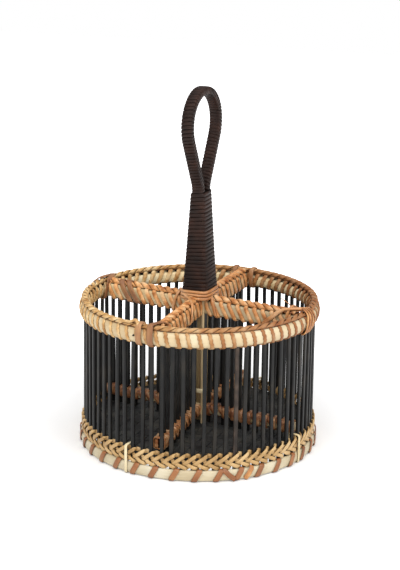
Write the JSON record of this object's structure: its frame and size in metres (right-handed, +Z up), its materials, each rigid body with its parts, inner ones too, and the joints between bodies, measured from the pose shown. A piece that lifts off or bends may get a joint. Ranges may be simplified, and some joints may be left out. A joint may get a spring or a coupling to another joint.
{
  "type": "cutlery caddy",
  "caption": "Round slatted caddy of cane and black bamboo with crossed dividers, a raised foot and a tall bound loop handle, for carrying knives and cutlery.",
  "frame": {"origin": "middle of the footprint, on the surface that the foot stands on", "axes": "+Z up; the handle loop along Y; the long divider within five degrees of X and the short dividers within five degrees of Y"},
  "size_m": [0.2062, 0.2059, 0.304],
  "materials": {
    "black_bamboo": "dyed black, satin",
    "pale_cane": "natural, satin",
    "brown_cane": "smoked, satin",
    "dark_cane": "dark smoked, satin",
    "split_cane_tie": "natural, satin",
    "golden_cane": "natural, satin",
    "natural_stick": "peeled, matte",
    "orange_cane": "smoked, satin",
    "dark_binding": "stained dark brown, satin"
  },
  "bodies": {
    "root": {"wall_slats": "black_bamboo", "long_slats": "black_bamboo", "front_slats": "black_bamboo", "back_slats": "black_bamboo", "base_warp": "black_bamboo", "base_weft": "black_bamboo", "rim_outer_hoop": "pale_cane", "rim_inner_hoop": "pale_cane", "foot_outer_hoop": "pale_cane", "foot_inner_hoop": "pale_cane", "long_top_batten_front": "pale_cane", "long_top_batten_back": "pale_cane", "front_top_batten_left": "pale_cane", "front_top_batten_right": "pale_cane", "back_top_batten_left": "pale_cane", "back_top_batten_right": "pale_cane", "long_low_batten_front": "pale_cane", "long_low_batten_back": "pale_cane", "front_low_batten_left": "pale_cane", "front_low_batten_right": "pale_cane", "back_low_batten_left": "pale_cane", "back_low_batten_right": "pale_cane", "rim_lashing": "brown_cane", "rim_plait": "brown_cane", "right_top_lashing": "brown_cane", "right_low_lashing": "brown_cane", "right_plait": "brown_cane", "right_rim_tie": "dark_cane", "back_top_lashing": "brown_cane", "back_low_lashing": "brown_cane", "back_plait": "brown_cane", "back_rim_tie": "dark_cane", "left_top_lashing": "brown_cane", "left_low_lashing": "brown_cane", "left_plait": "brown_cane", "left_rim_tie": "dark_cane", "front_top_lashing": "brown_cane", "front_low_lashing": "brown_cane", "front_plait": "brown_cane", "front_rim_tie": "dark_cane", "foot_lashing": "brown_cane", "foot_ties": "split_cane_tie", "post_tie": "split_cane_tie", "upper_twine_one": "golden_cane", "upper_twine_two": "golden_cane", "lower_twine_one": "golden_cane", "lower_twine_two": "golden_cane", "post_stick_front_left": "natural_stick", "post_stick_front_right": "natural_stick", "post_stick_back_left": "natural_stick", "post_stick_back_right": "natural_stick", "cross_collar": "orange_cane", "cross_ties": "orange_cane", "handle_core": "natural_stick", "front_leg_binding": "dark_binding", "back_leg_binding": "dark_binding", "stem_binding": "dark_binding"}
  },
  "joints": []
}
